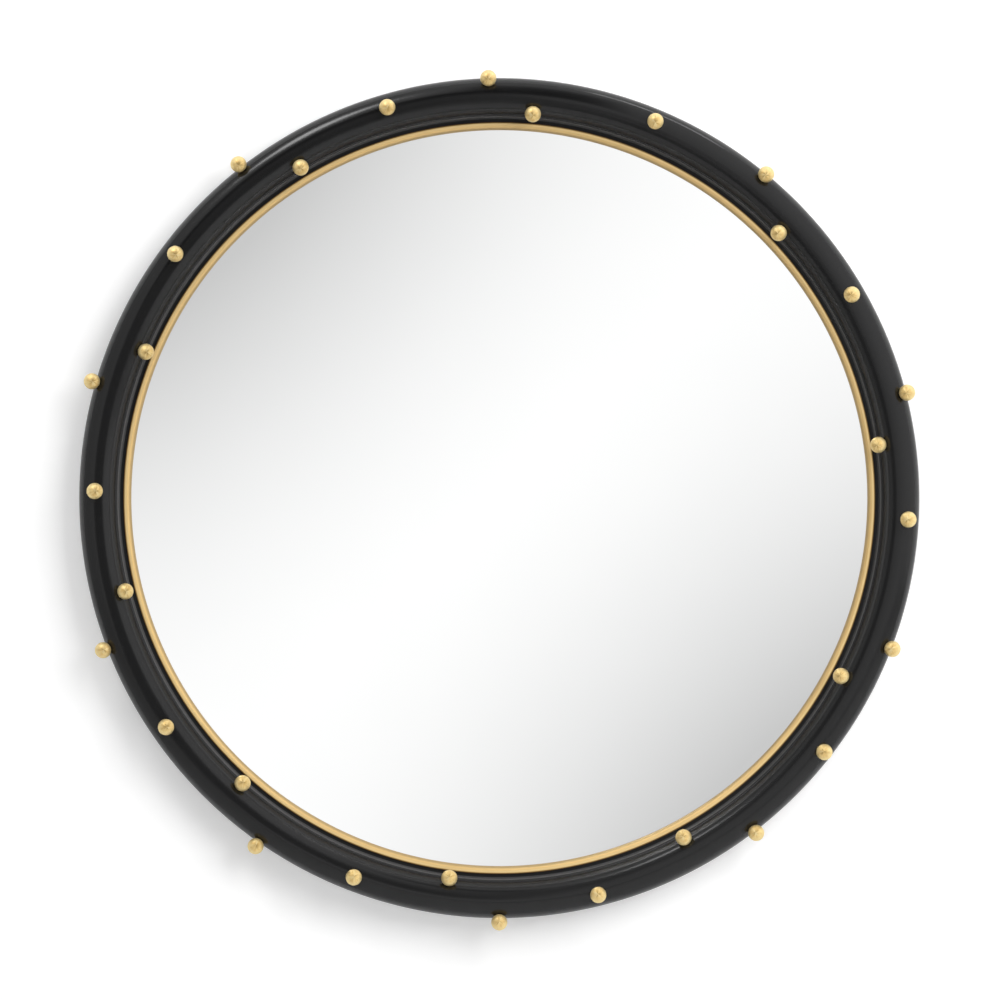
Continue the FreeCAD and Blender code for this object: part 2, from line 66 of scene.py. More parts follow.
# %% A socket that can be added, multiplied and compared
class Socket:
    """One output of a node, on which Python's signs add Math nodes."""

    def __init__(self, owner, output):
        self.owner = owner
        self.output = output

    def maths(self, operation, first, second=0.0):
        return self.owner.node("ShaderNodeMath", {"operation": operation}, {0: first, 1: second})

    def __add__(self, other):
        return self.maths("ADD", self, other)

    def __sub__(self, other):
        return self.maths("SUBTRACT", self, other)

    def __rsub__(self, other):
        return self.maths("SUBTRACT", other, self)

    def __mul__(self, other):
        return self.maths("MULTIPLY", self, other)

    def __truediv__(self, other):
        return self.maths("DIVIDE", self, other)

    def __pow__(self, other):
        return self.maths("POWER", self, other)

    def __lt__(self, other):
        return self.maths("LESS_THAN", self, other)

    def __abs__(self):
        return self.maths("ABSOLUTE", self)

    def sine(self):
        return self.maths("SINE", self)

    def at_least(self, other):
        return self.maths("MAXIMUM", self, other)

    def at_most(self, other):
        return self.maths("MINIMUM", self, other)

    __radd__ = __add__
    __rmul__ = __mul__


print("a socket takes + - * / ** < and abs()")

# %% A tree, and the one method that adds a node
class Tree:
    """A tree of shader nodes or geometry nodes."""

    def __init__(self, tree):
        self.tree = tree

    def node(self, kind, settings=None, sockets=None, out=0):
        """Any node: its settings are set first, then the values or links of its sockets."""
        made = self.tree.nodes.new(kind)
        for key, value in (settings or {}).items():
            setattr(made, key, value)
        for key, value in (sockets or {}).items():
            if isinstance(value, Socket):
                self.tree.links.new(value.output, made.inputs[key])
            else:
                made.inputs[key].default_value = value
        return Socket(self, made.outputs[out]) if made.outputs else None

    def joined(self, x, y, z):
        return self.node("ShaderNodeCombineXYZ", None, {0: x, 1: y, 2: z})

    def vectors(self, operation, first, second):
        return self.node("ShaderNodeVectorMath", {"operation": operation}, {0: first, 1: second})


print("any node comes from Tree.node")

# %% A finish: a tree of shader nodes
class Finish(Tree):
    """A tree of shader nodes, for a material or for the world."""

    def __init__(self, tree):
        super().__init__(tree)
        self.tree.nodes.clear()

    def ramp(self, value, low, high):
        """0 below low and 1 above high, with a soft S between."""
        return self.node("ShaderNodeMapRange", {"interpolation_type": "SMOOTHSTEP"},
                         {"Value": value, "From Min": low, "From Max": high})

    def below(self, value, low, high):
        """1 below low and 0 above high."""
        return 1.0 - self.ramp(value, low, high)

    def band(self, value, middle, full, gone):
        """1 as far as full from the middle on both sides, and 0 from gone onwards."""
        return self.below(abs(value - middle), full, gone)

    def blend(self, factor, first, second):
        """The first colour where the factor is 0 and the second where it is 1."""
        sockets = {"Factor": factor, 6: first, 7: second}
        return self.node("ShaderNodeMix", {"data_type": "RGBA"}, sockets, out=2)

    def noise(self, place, scale, detail=2.0, rough=0.5):
        return self.node("ShaderNodeTexNoise", None,
                         {"Vector": place, "Scale": scale, "Detail": detail, "Roughness": rough})

    def bump(self, height, strength, distance):
        return self.node("ShaderNodeBump", None,
                         {"Height": height, "Strength": strength, "Distance": distance})

    def parts(self, place):
        """The three numbers of a vector."""
        return [self.node("ShaderNodeSeparateXYZ", None, {0: place}, out=axis) for axis in range(3)]

    def ray(self, kind):
        """1 for rays of one kind and 0 for all others."""
        return self.node("ShaderNodeLightPath", None, None, out=f"Is {kind} Ray")

    def glow(self, colour, strength=1.0):
        return self.node("ShaderNodeEmission", None, {"Color": colour, "Strength": strength})

    def mixed(self, factor, first, second):
        """The first shader where the factor is 0 and the second where it is 1."""
        return self.node("ShaderNodeMixShader", None, {0: factor, 1: first, 2: second})


print("a finish has ramps, bands, blends, noises and bumps")

# %% A paint: a finish that is a material
class Paint(Finish):
    """A material on Object coordinates, mostly with one Principled shader."""

    def __init__(self, name, **fixed):
        self.material = bpy.data.materials.new(name)
        self.material.use_nodes = True
        super().__init__(self.material.node_tree)
        self.here = self.node("ShaderNodeTexCoord", None, None, out="Object")
        self.fixed = fixed

    def close(self, **varying):
        """One Principled shader, with what is the same all over and what varies."""
        given = {key.replace("_", " "): value for key, value in {**self.fixed, **varying}.items()}
        return self.show(self.node("ShaderNodeBsdfPrincipled", None, given))

    def show(self, shader):
        self.node("ShaderNodeOutputMaterial", None, {"Surface": shader})
        return self.material


def rgb(red, green, blue):
    return (red, green, blue, 1.0)


def grey(level):
    return rgb(level, level, level)


WHITE = grey(1.0)
print("shader helpers ready")

# %% [markdown]
# ## The section that all sizes hang on
#
# The black ring and the gilded bead are turned, so one section tells their whole shape: how far a point
# lies from the mirror's middle, and how far it stands off the wall. The finishes change along the same
# section, so its sizes come first. We could read them off the loaded meshes, but the flats of a mesh lie
# a little inside the true circle, so the drawing's own numbers are better.

# %% Sizes of the section
OUTER_R = 0.495              # the ring's outer edge
ROUND = 0.021                # radius of the half round
ROUND_R = OUTER_R - ROUND    # its middle line
ROUND_D = 0.033194           # how far that line stands off the wall
QUIRK_R = ROUND_R - ROUND    # where the small round grows out of the half round
WALL_R = 0.4485              # the small round's steep inner wall
LIP_R = 0.444                # inner edge of the sunk fillet
REBATE_R = 0.452             # the rebate behind, for glass and board
BEAD = 0.007                 # radius of the gilded bead
BEAD_R = 0.442               # its crest
SIGHT_R = BEAD_R - BEAD      # where the bead meets the glass
BACK_D = 0.008               # the ring's flat back
GLASS_D = 0.019              # the front of the glass
SHOULDER_D = 0.022           # the step in the rebate that the bead's flange lies on
FILLET_D = 0.024             # the sunk fillet
print(f"ring: {OUTER_R * 2:.3f} m across, with its crest {ROUND_D + ROUND:.4f} m off the wall")
print(f"sight: {SIGHT_R * 2:.3f} m across")

# %% [markdown]
# ## Satin black lacquer
#
# The ring is turned wood under black lacquer. A turner's tool leaves rings finer than a hair, which the
# lacquer only half fills, so the gloss is broken by fine lines that run round the frame. A picture of
# such lines would show a seam. We measure the distance from the mirror's middle instead, feed it to a
# noise that hardly changes along the ring, and let it move the roughness and a very shallow bump. A
# painted highlight draws a grey line along the small round's arris, the inner flank of the half round
# is calmer, and the outer flank is glossier.

# %% Marks that follow the ring
def ring_place(paint):
    """A point's distance from the mirror's middle, its direction from there, and its y."""
    across, y, up = paint.parts(paint.here)
    distance = (across * across + up * up) ** 0.5
    return distance, across / distance, up / distance, y


def ring_lines(paint, place, along, outwards, inwards, detail):
    """A noise in lines round the ring: how often it changes along it, outwards and inwards."""
    distance, side, height, y = place
    section = distance * outwards + y * inwards
    return paint.noise(paint.joined(side * along, section, height * along), 1.0, detail)


lacquer = Paint("black_lacquer", IOR=1.48)
on_ring = ring_place(lacquer)
turning = ring_lines(lacquer, on_ring, 1.2, 900.0, 420.0, 3.0)
brushed = ring_lines(lacquer, on_ring, 5.0, 260.0, 260.0, 2.0)
cloudy = lacquer.noise(lacquer.here, 14.0, 4.0)
grit = lacquer.noise(lacquer.here, 1500.0, 2.0)
print("marks in the lacquer: turning, brushing, clouds and grit")

# %% Bands of the section
from_middle, *_, depth = on_ring
behind = lacquer.ramp(depth, -BACK_D - 0.0025, -BACK_D - 0.0010)
sunk = lacquer.below(from_middle, WALL_R - 0.0005, WALL_R + 0.0001)
quirk = lacquer.band(from_middle, QUIRK_R + 0.0013, 0.0012, 0.0032)
# painted highlight: a narrow band along the small round's arris, lifted to grey and made a little rougher
painted_highlight = lacquer.band(from_middle, WALL_R + 0.0006, 0.0008, 0.0019) * (1.0 - behind)
inner_side = lacquer.below(from_middle, ROUND_R - 0.0140, ROUND_R - 0.0060)
outer_side = lacquer.ramp(from_middle, ROUND_R + 0.0105, ROUND_R + 0.0145)
print("bands in the lacquer: the back, the fillet, the quirk, the rubbed arris and two flanks")

# %% Black lacquer
ink, soot = rgb(0.0035, 0.0035, 0.0037), rgb(0.0085, 0.0085, 0.0088)
black = lacquer.blend(cloudy * 0.6 + turning * 0.4, ink, soot)
black = lacquer.blend(behind * lacquer.ramp(grit, 0.35, 0.65), black, rgb(0.022, 0.021, 0.020))
# painted highlight: the arris band turns grey in the base colour
black = lacquer.blend(painted_highlight * (0.7 + brushed * 0.5), black, rgb(0.066, 0.066, 0.068))
lines = (turning * 0.05 + brushed * 0.05) * (1.0 - inner_side * 0.9)
satin_black = 0.15 + lines + inner_side * 0.04 - outer_side * 0.09 + cloudy * 0.04 + painted_highlight * 0.10
gloss = satin_black + sunk * 0.5 + quirk * 0.32 + behind * 0.45
ridges = (turning * 0.5 + brushed * 0.3) * (1.0 - inner_side * 0.95)
relief = lacquer.bump(ridges + grit * 0.10, 0.10, 0.00008)
black_lacquer = lacquer.close(Base_Color=black, Roughness=gloss, Normal=relief)
print("finish:", black_lacquer.name)

# %% [markdown]
# ## Gilded bead
#
# The narrow bead round the glass is gilded and rubbed. Rubbing follows the ring, so the streaks are long
# and thin. One even gold would look like plastic, so bands of the section paint light and shade into the
# leaf: a painted highlight along the crest and on the inner slope, and painted shade in the groove beside
# the frame and at the sight edge. The leaf is only half metal, because pure metal would turn black where
# the room is dark.

# %% Gold leaf
gilding = Paint("gold_leaf", Metallic=0.5)
on_bead = ring_place(gilding)
from_middle = on_bead[0]
streaks = ring_lines(gilding, on_bead, 14.0, 900.0, 500.0, 3.0)
patches = gilding.noise(gilding.here, 90.0, 4.0)
# painted shade: the groove beside the frame is darkened in the colour
painted_groove_shade = gilding.ramp(from_middle, BEAD_R, BEAD_R + 0.0011)
# painted highlight: the bead's inner slope is lightened
painted_slope_light = gilding.below(from_middle, BEAD_R - 0.0035, BEAD_R - 0.0008)
# painted shade: the leaf turns darker towards the sight edge
painted_sight_shade = gilding.below(from_middle, SIGHT_R + 0.0007, SIGHT_R + 0.0040)
# painted highlight: a bright band along the bead's crest
crest = gilding.band(from_middle, BEAD_R - 0.0010, 0.0007, 0.0016)
leaf = gilding.blend(streaks * 0.6 + patches * 0.4, rgb(0.72, 0.46, 0.150), rgb(0.96, 0.68, 0.285))
# painted highlight on the inner slope
leaf = gilding.blend(painted_slope_light * 0.30, leaf, rgb(0.97, 0.69, 0.345))
# painted highlight on the crest
leaf = gilding.blend(crest * 0.7, leaf, rgb(1.0, 0.75, 0.37))
# painted shade in the groove beside the frame
leaf = gilding.blend(painted_groove_shade * 0.92, leaf, rgb(0.16, 0.085, 0.028))
# painted shade at the sight edge
leaf = gilding.blend(painted_sight_shade * 0.7, leaf, rgb(0.36, 0.26, 0.13))
leaf_gloss = 0.34 + streaks * 0.14 + patches * 0.08 + painted_groove_shade * 0.12
leaf_relief = gilding.bump(streaks * 0.8 + patches * 0.4, 0.15, 0.0001)
gold_leaf = gilding.close(Base_Color=leaf, Roughness=leaf_gloss, Normal=leaf_relief)
print("finish:", gold_leaf.name)

# %% [markdown]
# ## Brushed satin brass
#
# Each ball was brushed from one pole, which it turns to the room, so fine strokes fan out to the rim,
# with dark and light wedges close to the pole, and a painted highlight lightens the colour towards the rim.
# Bumps alone would leave the colour flat, and an image would make thirty equal balls. The stud recipe
# keeps two things on a ball's points: its private coordinates, measured from that pole, and its number.
# The direction round the pole goes into a noise that hardly changes along a stroke, and the number
# moves it on, so that no two balls are alike.

# %% Strokes on a ball
brass = Paint("satin_brass", Metallic=0.7)
own = brass.node("ShaderNodeAttribute", {"attribute_name": "ball_place"}, None, out="Vector")
number = brass.node("ShaderNodeAttribute", {"attribute_name": "ball_number"}, None, out="Fac")
own_x, own_y, own_z = brass.parts(own)
from_pole = (own_x * own_x + own_z * own_z + 1e-9) ** 0.5
pole_x, pole_z = own_x / from_pole, own_z / from_pole
fan = brass.joined(pole_x * 3.2, number * 5.7 + own_y * 90.0, pole_z * 3.2)
strokes = brass.noise(fan, 1.0, 3.0, 0.6)
cuts = brass.noise(brass.joined(pole_x * 1.4, number * 3.1 + 20.0, pole_z * 1.4), 1.0, 2.0)
mottle = brass.noise(brass.joined(own_x, own_y + number, own_z), 260.0, 3.0)
near_pole = brass.below(from_pole, 0.0010, 0.0062)
# painted highlight: lighter colour towards each ball's edge
painted_rim_highlight = brass.ramp(from_pole, 0.0052, 0.0088)
print("marks on a ball: strokes, cuts and mottling")

# %% Satin brass
worn = brass.ramp(strokes * 0.65 + mottle * 0.35, 0.32, 0.66)
metal = brass.blend(worn, rgb(0.80, 0.535, 0.19), rgb(1.0, 0.78, 0.365))
# painted highlight towards the rim
metal = brass.blend(painted_rim_highlight * 0.6, metal, rgb(1.0, 0.82, 0.42))
metal = brass.blend(brass.below(cuts, 0.40, 0.51) * near_pole * 0.75, metal, rgb(0.40, 0.24, 0.06))
metal = brass.blend(brass.ramp(cuts, 0.53, 0.65) * near_pole * 0.7, metal, rgb(1.0, 0.87, 0.52))
satin = 0.36 + strokes * 0.16 + mottle * 0.10
brush_marks = brass.bump(strokes * 0.8 + mottle * 0.3, 0.35, 0.00015)
satin_brass = brass.close(Base_Color=metal, Roughness=satin, Normal=brush_marks)
print("finish:", satin_brass.name)

# %% [markdown]
# ## Silvered glass
#
# A good mirror has next to no look of its own. We could build clear glass with silver behind it, but the
# eye sees only the silver, so one smooth metal gives the same picture with less work. Only a faint bloom
# from cleaning tints it.

# %% Mirror
silver = Paint("mirror", Metallic=1.0, Roughness=0.0)
bloom = silver.noise(silver.here, 9.0, 5.0)
silvering = silver.blend(bloom, rgb(0.965, 0.970, 0.968), rgb(0.985, 0.988, 0.986))
mirror = silver.close(Base_Color=silvering)
print("finish:", mirror.name)

# %% [markdown]
# ## The back: fibreboard, zinc and rubber
#
# Nobody looks at these once the mirror hangs, but a part is looked at from all sides. Hard fibreboard is
# brown, flecked with fibres and printed with the wire mesh it was pressed on. Zinc plate has a pale,
# slightly clouded bloom. Rubber is dull, with a bloom of dust. One colour each would do from afar. Noises
# that are stretched along the fibres or along the rolling hold up close by as well.

# %% Fibres of the board
MESH_TURNS = 2400.0    # radians to a metre, so the wire mesh repeats every 2.6 mm
board = Paint("fibreboard", IOR=1.45)


def stretched(paint, along, detail, rough=0.5):
    """A noise with its own scale along each axis."""
    return paint.noise(paint.vectors("MULTIPLY", paint.here, along), 1.0, detail, rough)


fibres = stretched(board, (900.0, 900.0, 160.0), 4.0, 0.65)
flecks = stretched(board, (150.0, 700.0, 1100.0), 3.0, 0.6)
clumps = stretched(board, (190.0, 190.0, 120.0), 5.0, 0.68)
specks = board.noise(board.here, 260.0, 2.0)
stain = board.noise(board.here, 5.0, 5.0)
across, _, up = board.parts(board.here)
mesh_print = (across * MESH_TURNS).sine() * (up * MESH_TURNS).sine()
# the board turns darker towards its edge
edge_darkening = board.ramp((across * across + up * up) ** 0.5, 0.39, 0.445)
print(f"the mesh print repeats every {math.tau / MESH_TURNS * 1000:.1f} mm")

# %% Fibreboard
brown = board.blend(fibres * 0.6 + flecks * 0.4, rgb(0.155, 0.082, 0.038), rgb(0.34, 0.205, 0.105))
brown = board.blend(board.ramp(clumps, 0.30, 0.72) * 0.60, brown, rgb(0.155, 0.088, 0.042))
brown = board.blend(board.ramp(stain, 0.40, 0.70) * 0.35, brown, rgb(0.33, 0.215, 0.120))
brown = board.blend(board.ramp(specks, 0.64, 0.74) * 0.6, brown, rgb(0.45, 0.315, 0.185))
brown = board.blend(board.below(specks, 0.25, 0.34) * 0.6, brown, rgb(0.070, 0.036, 0.017))
# darker towards the board's edge, in blotches from the stain noise
brown = board.blend(edge_darkening * (0.25 + stain * 0.5), brown, rgb(0.10, 0.060, 0.032))
pressed = board.bump(mesh_print * 0.5 + fibres, 0.5, 0.00025)
fibreboard = board.close(Base_Color=brown, Roughness=0.62 + fibres * 0.22, Normal=pressed)
print("finish:", fibreboard.name)

# %% Zinc plate
plating = Paint("zinc_plate", Metallic=1.0)
spangle = plating.noise(plating.here, 420.0, 3.0)
rolled = stretched(plating, (2500.0, 900.0, 300.0), 2.0)
haze = plating.noise(plating.here, 60.0, 3.0)
plate = plating.blend(spangle * 0.5 + rolled * 0.5, rgb(0.47, 0.48, 0.49), rgb(0.74, 0.75, 0.76))
plate = plating.blend(plating.ramp(haze, 0.5, 0.75) * 0.5, plate, rgb(0.66, 0.62, 0.50))
plate_gloss = 0.26 + haze * 0.2 + spangle * 0.1
plate_relief = plating.bump(spangle + rolled * 0.5, 0.2, 0.00008)
zinc_plate = plating.close(Base_Color=plate, Roughness=plate_gloss, Normal=plate_relief)
print("finish:", zinc_plate.name)

# %% Rubber
moulded = Paint("rubber", IOR=1.5)
dust = moulded.noise(moulded.here, 240.0, 5.0)
pores = moulded.noise(moulded.here, 2600.0, 2.0)
dull = moulded.blend(moulded.ramp(dust, 0.45, 0.75), rgb(0.017, 0.017, 0.018), rgb(0.060, 0.058, 0.055))
pitted = moulded.bump(pores, 0.4, 0.0001)
rubber = moulded.close(Base_Color=dull, Roughness=0.70 + dust * 0.22, Normal=pitted)
print("finish:", rubber.name)

# %% [markdown]
# ## Recipes: Geometry Nodes built in the script
#
# What is turned on a lathe follows one rule, a section carried round a circle, and the studs and screws
# are one shape set at many places. We could model each by hand, but a rule is quicker to change, so both
# are jobs for Geometry Nodes. A small class builds a tree with named inputs, runs it once on a host mesh,
# and keeps the result as a plain mesh.

# %% A plain piece from what the modifiers give
def placed(name, data):
    """A new object in the scene, at the origin."""
    thing = bpy.data.objects.new(name, data)
    scene.collection.objects.link(thing)
    return thing


def modified_mesh(source):
    graph = bpy.context.evaluated_depsgraph_get()
    return bpy.data.meshes.new_from_object(source.evaluated_get(graph), preserve_all_data_layers=True,
                                           depsgraph=graph)


def plain_piece(name, source):
    """A piece with the mesh that the source's modifiers give, its faces outwards. The source goes."""
    mesh = modified_mesh(source)
    mesh.name = name
    bpy.data.objects.remove(source)
    shell = bmesh.new()
    shell.from_mesh(mesh)
    if shell.calc_volume(signed=True) < 0.0:
        bmesh.ops.reverse_faces(shell, faces=shell.faces)
        shell.to_mesh(mesh)
    volume = shell.calc_volume(signed=True)
    shell.free()
    print(f"{name}: {len(mesh.polygons)} faces, {volume * 1e6:.1f} cm3")
    return placed(name, mesh)


print("pieces will lie at the origin, with their places in their meshes")

# %% A recipe: a Geometry Nodes tree that is run once
CRISP = math.radians(32.0)    # edges sharper than this are shaded crisp


class Recipe(Tree):
    """A Geometry Nodes tree with named inputs."""

    def __init__(self, name, inputs):
        super().__init__(bpy.data.node_groups.new(name, "GeometryNodeTree"))
        for label, kind in {"Geometry": "Geometry", **inputs}.items():
            self.tree.interface.new_socket(label, in_out="INPUT", socket_type="NodeSocket" + kind)
        self.tree.interface.new_socket("Geometry", in_out="OUTPUT", socket_type="NodeSocketGeometry")

    def given(self, label):
        """One of the named inputs."""
        return self.node("NodeGroupInput", None, None, out=label)

    def kept(self, label):
        """A vector that was stored on the points under a name."""
        return self.node("GeometryNodeInputNamedAttribute", {"data_type": "FLOAT_VECTOR"}, {"Name": label})

    def chance(self, most):
        """A random number from 0 to most for each point, from the recipe's seed."""
        sockets = {3: most, "ID": self.node("GeometryNodeInputIndex"), "Seed": self.given("Seed")}
        return self.node("FunctionNodeRandomValue", {"data_type": "FLOAT"}, sockets, out=1)

    def close(self, geometry):
        """Smooth shading except at crisp edges, then one real mesh with one material."""
        angle = self.node("GeometryNodeInputMeshEdgeAngle")
        gentle = self.node("FunctionNodeCompare", {"operation": "LESS_THAN"}, {0: angle, 1: CRISP})
        faces = self.node("GeometryNodeSetShadeSmooth", {"domain": "FACE"}, {"Geometry": geometry})
        edges = self.node("GeometryNodeSetShadeSmooth", {"domain": "EDGE"},
                          {"Geometry": faces, "Shade Smooth": gentle})
        real = self.node("GeometryNodeRealizeInstances", None, {"Geometry": edges})
        done = self.node("GeometryNodeSetMaterial", None,
                         {"Geometry": real, "Material": self.given("Finish")})
        self.node("NodeGroupOutput", None, {"Geometry": done})
        print(f"recipe for {self.tree.name}: {len(self.tree.nodes)} nodes")

    def make(self, name, host_mesh, values):
        host = placed(name + "_host", host_mesh)
        modifier = host.modifiers.new("recipe", "NODES")
        modifier.node_group = self.tree
        for item in self.tree.interface.items_tree:
            if item.in_out == "INPUT" and item.name in values:
                modifier[item.identifier] = values[item.name]
        return plain_piece(name, host)


print(f"edges sharper than {math.degrees(CRISP):.0f} degrees stay crisp")

# %% [markdown]
# ## The turned ring and its gilded bead
#
# The black frame has a large half round, a smaller round that grows out of its inner side, and a sunk
# fillet, all turned in one piece with a rebate behind. A Screw modifier could spin the section too, but
# a recipe keeps the radius and the number of steps as named inputs. The section is drawn once, as
# distance from the middle and depth from the wall, with its arrises eased by a third of a millimetre as
# sandpaper would.

# %% Drawing a section
ARRIS = 0.0003


def arc(centre_r, centre_d, radius, first, last, steps):
    """Points on an arc; 0 degrees is the crest, 90 is outwards."""
    turns = [math.radians(first + (last - first) * n / steps) for n in range(steps + 1)]
    return [(centre_r + radius * math.sin(t), centre_d + radius * math.cos(t)) for t in turns]


def eased(points, corners):
    """The section with the numbered corners rounded off in four short steps."""
    out = []
    for n, point in enumerate(points):
        if n not in corners:
            out.append(point)
            continue
        here = Vector(point)
        before = (Vector(points[n - 1]) - here).normalized() * ARRIS
        after = (Vector(points[(n + 1) % len(points)]) - here).normalized() * ARRIS
        for t in (0.0, 0.25, 0.5, 0.75, 1.0):
            out.append(tuple(here + before * (1.0 - t) ** 2 + after * t ** 2))
    return out


def section_mesh(name, points, middle):
    mesh = bpy.data.meshes.new(name)
    edges = [(n, (n + 1) % len(points)) for n in range(len(points))]
    mesh.from_pydata([(r - middle, -d, 0.0) for r, d in points], edges, [])
    print(f"{name}: {len(points)} points")
    return mesh


print(f"arrises are eased by {ARRIS * 1000:.1f} mm")

# %% The lathe recipe
lathe = Recipe("turned ring", {"Middle radius": "Float", "Steps": "Int", "Finish": "Material"})
section = lathe.node("GeometryNodeMeshToCurve", None, {"Mesh": lathe.given("Geometry")})
path = lathe.node("GeometryNodeCurvePrimitiveCircle", {"mode": "RADIUS"},
                  {"Resolution": lathe.given("Steps"), "Radius": lathe.given("Middle radius")})
level = lathe.node("GeometryNodeSetCurveNormal", {"mode": "Z_UP"}, {"Curve": path})
swept = lathe.node("GeometryNodeCurveToMesh", None, {"Curve": level, "Profile Curve": section})
quarter_turn = (math.pi / 2, 0.0, 0.0)
upright = lathe.node("GeometryNodeTransform", None, {"Geometry": swept, "Rotation": quarter_turn})
lathe.close(upright)
STEPS = 512

# %% The black ring
CHAMFER = 0.0015
SMALL, SMALL_FROM, SMALL_TO = 0.01324, -35.0, -66.0    # the small round: radius, first and last degree
small_r = QUIRK_R - SMALL * math.sin(math.radians(SMALL_FROM))
small_d = ROUND_D - SMALL * math.cos(math.radians(SMALL_FROM))
ring_points = arc(ROUND_R, ROUND_D, ROUND, 90.0, -90.0, 72)
ring_points += arc(small_r, small_d, SMALL, SMALL_FROM, SMALL_TO, 16)[1:]
first_corner = len(ring_points)
ring_points += [(WALL_R, FILLET_D), (LIP_R, FILLET_D), (LIP_R, SHOULDER_D)]
inside_corner = len(ring_points)
ring_points += [(REBATE_R, SHOULDER_D), (REBATE_R, BACK_D + CHAMFER), (REBATE_R + CHAMFER, BACK_D)]
ring_points += [(OUTER_R - CHAMFER, BACK_D), (OUTER_R, BACK_D + CHAMFER)]
ring_corners = set(range(first_corner, len(ring_points))) - {inside_corner}
ring_section = section_mesh("frame section", eased(ring_points, ring_corners), ROUND_R)
ring = lathe.make("turned_frame", ring_section,
                  {"Middle radius": ROUND_R, "Steps": STEPS, "Finish": black_lacquer})
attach(ring, "frame")
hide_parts("frame_ring")

# %% The gilded bead
BEAD_WALL_R = 0.4437    # the bead's upright side, which stands close to the lip
FLANGE_R = 0.451        # edge of the flange that is caught in the rebate
bead_points = arc(BEAD_R, GLASS_D, BEAD, 0.0, -90.0, 30)
bead_points += [(FLANGE_R, GLASS_D), (FLANGE_R, SHOULDER_D)]
bead_points += [(BEAD_WALL_R, SHOULDER_D), (BEAD_WALL_R, GLASS_D + BEAD)]
bead_section = section_mesh("bead section", eased(bead_points, {len(bead_points) - 1}), BEAD_R)
bead = lathe.make("gilded_bead", bead_section,
                  {"Middle radius": BEAD_R, "Steps": STEPS, "Finish": gold_leaf})
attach(bead, "frame")
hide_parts("gold_bead_ring")

# %% [markdown]
# ## Thirty brass balls
#
# The balls stand square to the half round, each on its own flat seat. Thirty places typed in by hand
# would drift from the solids, so they are read from the CAD nodes: a ball's axis runs from the round's
# own middle line through the ball's centre. The recipe sets one turned ball at each place with its flat
# on the frame, gives it a number, and keeps its private coordinates for the brushed finish.

# %% The places of the studs
BALL, SEAT = 0.0095, 0.004    # radius of a ball and of its flat seat
stud_nodes = sorted(name for name in frame["nodes"] if "_ball_" in name)
stud_places, stud_axes = [], []
for name in stud_nodes:
    low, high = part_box(name)
    centre = Vector(((low[0] + high[0]) / 2, low[1] + BALL, (low[2] + high[2]) / 2))
    outwards = Vector((centre.x, 0.0, centre.z)).normalized()
    axis = (centre - (outwards * ROUND_R + Vector((0.0, -ROUND_D, 0.0)))).normalized()
    stud_places.append(centre)
    stud_axes.append(axis)
studs_mesh = bpy.data.meshes.new("stud places")
studs_mesh.from_pydata(stud_places, [], [])
axes = studs_mesh.attributes.new("axis", "FLOAT_VECTOR", "POINT")
axes.data.foreach_set("vector", [number for axis in stud_axes for number in axis])
print("studs:", len(stud_places))

# %% The stud recipe: balls on their seats
studs = Recipe("ball studs", {"Ball radius": "Float", "Seat radius": "Float", "Pole shift": "Float",
                              "Seed": "Int", "Finish": "Material"})
ball_radius, seat_radius = studs.given("Ball radius"), studs.given("Seat radius")
ball = studs.node("GeometryNodeMeshUVSphere", None, {"Segments": 48, "Rings": 32, "Radius": ball_radius})
seat_level = -1.0 * (ball_radius ** 2.0 - seat_radius ** 2.0) ** 0.5
lowest = studs.joined(-1.0, -1.0, seat_level)
flattened = studs.vectors("MAXIMUM", studs.node("GeometryNodeInputPosition"), lowest)
seated = studs.node("GeometryNodeSetPosition", None, {"Geometry": ball, "Position": flattened})
stand = studs.node("FunctionNodeAlignRotationToVector", {"axis": "Z"}, {"Vector": studs.kept("axis")})
set_balls = studs.node("GeometryNodeInstanceOnPoints", None,
                       {"Points": studs.given("Geometry"), "Instance": seated, "Rotation": stand})
print(f"a ball's seat lies {math.sqrt(BALL ** 2 - SEAT ** 2) * 1000:.2f} mm from its centre")

# %% The stud recipe: numbers and private coordinates
def stored(geometry, label, kind, domain, value):
    """The geometry with a value kept on it under a name."""
    return studs.node("GeometryNodeStoreNamedAttribute", {"data_type": kind, "domain": domain},
                      {"Geometry": geometry, "Name": label, "Value": value})


numbered = stored(set_balls, "ball_number", "FLOAT", "INSTANCE", studs.chance(10.0))
here = studs.node("GeometryNodeInputPosition")
centred = stored(numbered, "ball_centre", "FLOAT_VECTOR", "INSTANCE", here)
loose = studs.node("GeometryNodeRealizeInstances", None, {"Geometry": centred})
ball_centre = studs.kept("ball_centre")
shift = studs.node("ShaderNodeVectorMath", {"operation": "SCALE"},
                   {0: ball_centre, "Scale": studs.given("Pole shift")})
from_own_pole = studs.vectors("ADD", studs.vectors("SUBTRACT", here, ball_centre), shift)
studs.close(stored(loose, "ball_place", "FLOAT_VECTOR", "POINT", from_own_pole))

# %% The brass balls
POLE_SHIFT = 0.0022 / 0.48    # 2.2 mm towards the mirror's middle, for a ball 0.48 m from it
balls = studs.make("brass_balls", studs_mesh, {"Ball radius": BALL, "Seat radius": SEAT,
                                               "Pole shift": POLE_SHIFT, "Seed": 7, "Finish": satin_brass})
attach(balls, "frame")
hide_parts(*stud_nodes)

# %% [markdown]
# ## Screws with cross recesses
#
# The solids have plain pan heads. A real one has a cross pressed into it, which a bump would not show
# from the side, so we turn one screw of each size, cut the cross with a Boolean, and set it at every
# pivot and strap hole with a twist of its own, because nobody lines up screws at the back of a mirror.

# %% Turning a solid
def solid_from(name, shell):
    mesh = bpy.data.meshes.new(name)
    shell.to_mesh(mesh)
    shell.free()
    return placed(name, mesh)


